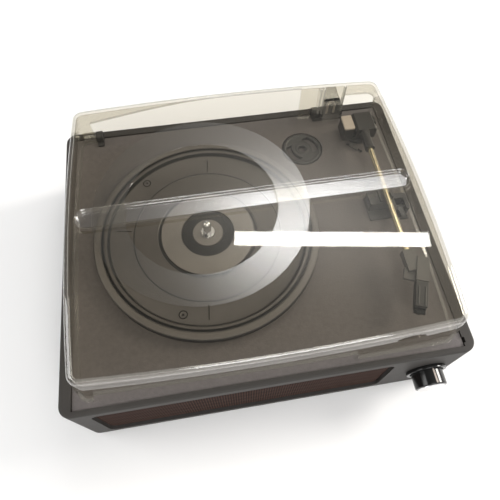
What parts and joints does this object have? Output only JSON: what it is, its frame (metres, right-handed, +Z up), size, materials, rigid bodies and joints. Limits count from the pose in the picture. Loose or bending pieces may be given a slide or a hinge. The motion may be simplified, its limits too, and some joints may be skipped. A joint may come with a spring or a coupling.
{
  "type": "turntable record player",
  "caption": "Compact belt-driven turntable with built-in speakers behind a front grille, a volume knob, a pivoted tonearm and a hinged clear dust cover.",
  "frame": {"origin": "on the surface it stands on, under the middle of the cabinet", "axes": "+X to the right seen from the front, +Y to the back, +Z up"},
  "size_m": [0.325, 0.2937, 0.1311],
  "materials": {
    "cabinet_skin": "satin",
    "deck_grain": "pebble grain",
    "dark_plastic": "satin",
    "black_gloss": "gloss",
    "pale_plastic": "satin",
    "grille_cloth": "woven",
    "steel": "satin",
    "chrome": "polished",
    "gold_tube": "satin",
    "brass": "satin",
    "rubber": "matte",
    "board": "satin",
    "fibreboard": "matte",
    "magnet": "matte",
    "cone_paper": "matte",
    "clear_cover": "clear",
    "headshell_grey": "satin",
    "white_washer": "satin"
  },
  "bodies": {
    "base": {"cabinet": "cabinet_skin", "bottom_plate": "dark_plastic", "rubber_feet": "rubber", "bottom_screws": "steel", "speaker_baffle": "fibreboard", "front_grille": "grille_cloth", "left_speaker_frame": "steel", "left_speaker_cone": "cone_paper", "left_speaker_magnet": "magnet", "right_speaker_frame": "steel", "right_speaker_cone": "cone_paper", "right_speaker_magnet": "magnet", "speaker_screws": "steel", "knob_bezel": "black_gloss", "volume_pot": "steel", "amplifier_board": "board", "rear_jack_panel": "dark_plastic", "rca_jacks": "brass", "aux_jack": "dark_plastic", "dc_jack": "dark_plastic", "deck_plate": "deck_grain", "deck_screws": "steel", "spindle": "chrome", "spindle_nut": "steel", "thrust_washer": "white_washer", "spindle_clip": "steel", "drive_belt": "rubber", "motor": "steel", "motor_bracket": "steel", "motor_grommets": "rubber", "tonearm_base": "dark_plastic", "arm_rest": "dark_plastic", "hinge_base": "dark_plastic", "hinge_lug": "dark_plastic", "hinge_pins": "steel"},
    "platter": {"platter": "dark_plastic", "platter_bush": "steel"},
    "pulley": {"motor_pulley": "brass", "motor_shaft": "steel"},
    "arm_mount": {"tonearm_housing": "dark_plastic", "pivot_cap": "pale_plastic", "pivot_shaft": "steel", "pitch_axle": "steel"},
    "arm": {"tonearm_carrier": "dark_plastic", "tonearm_sleeve": "dark_plastic", "tonearm_tube": "gold_tube", "counterweight": "magnet", "headshell": "headshell_grey", "cartridge": "dark_plastic", "stylus": "black_gloss"},
    "cue_lever": {"cue_lever": "black_gloss"},
    "lift_bar": {"lift_bar": "black_gloss"},
    "speed_selector": {"speed_knob": "headshell_grey"},
    "volume": {"volume_knob": "black_gloss", "knob_pointer": "pale_plastic", "knob_cap": "chrome", "knob_shaft": "steel"},
    "cover": {"dust_cover": "clear_cover", "hinge_leaf": "black_gloss"},
    "adapter": {"adapter_45": "dark_plastic"}
  },
  "joints": [
    {"name": "platter_spin", "type": "hinge", "parent": "base", "child": "platter", "pos_m": [-0.0364, 0.0005, 0.085], "axis": [0, 0, -1], "continuous": true},
    {"name": "pulley_spin", "type": "hinge", "parent": "base", "child": "pulley", "pos_m": [-0.09845, 0.05257, 0.08], "axis": [0, 0, -1], "continuous": true},
    {"name": "arm_swing", "type": "hinge", "parent": "base", "child": "arm_mount", "pos_m": [0.1264, 0.096, 0.0885], "axis": [0, 0, -1], "range_deg": [0, 42]},
    {"name": "arm_lift", "type": "hinge", "parent": "arm_mount", "child": "arm", "pos_m": [0.1264, 0.096, 0.1], "axis": [-1, 0, 0], "range_deg": [0, 3.4]},
    {"name": "cue_lever_turn", "type": "hinge", "parent": "base", "child": "cue_lever", "pos_m": [0.138, -0.001, 0.0925], "axis": [-1, 0, 0], "range_deg": [0, 45]},
    {"name": "lift_bar_rise", "type": "slide", "parent": "base", "child": "lift_bar", "axis": [0, 0, 1], "range_m": [0, 0.004]},
    {"name": "speed_slide", "type": "slide", "parent": "base", "child": "speed_selector", "axis": [0.682, -0.7314, 0], "range_m": [-0.0035, 0.0035]},
    {"name": "volume_turn", "type": "hinge", "parent": "base", "child": "volume", "pos_m": [0.1323, -0.14, 0.044], "axis": [0, 1, 0], "range_deg": [-150, 130]},
    {"name": "cover_open", "type": "hinge", "parent": "base", "child": "cover", "pos_m": [0, 0.126, 0.0905], "axis": [-1, 0, 0], "range_deg": [0, 75]},
    {"name": "adapter_lift", "type": "slide", "parent": "base", "child": "adapter", "axis": [0, 0, 1], "range_m": [0, 0.025]}
  ],
  "couplings": [
    {"joint": "pulley_spin", "follows": "platter_spin", "ratio": 12.453},
    {"joint": "cue_lever_turn", "follows": "arm_lift", "ratio": 13.235},
    {"joint": "lift_bar_rise", "follows": "arm_lift", "m_per_rad": 0.0674}
  ]
}
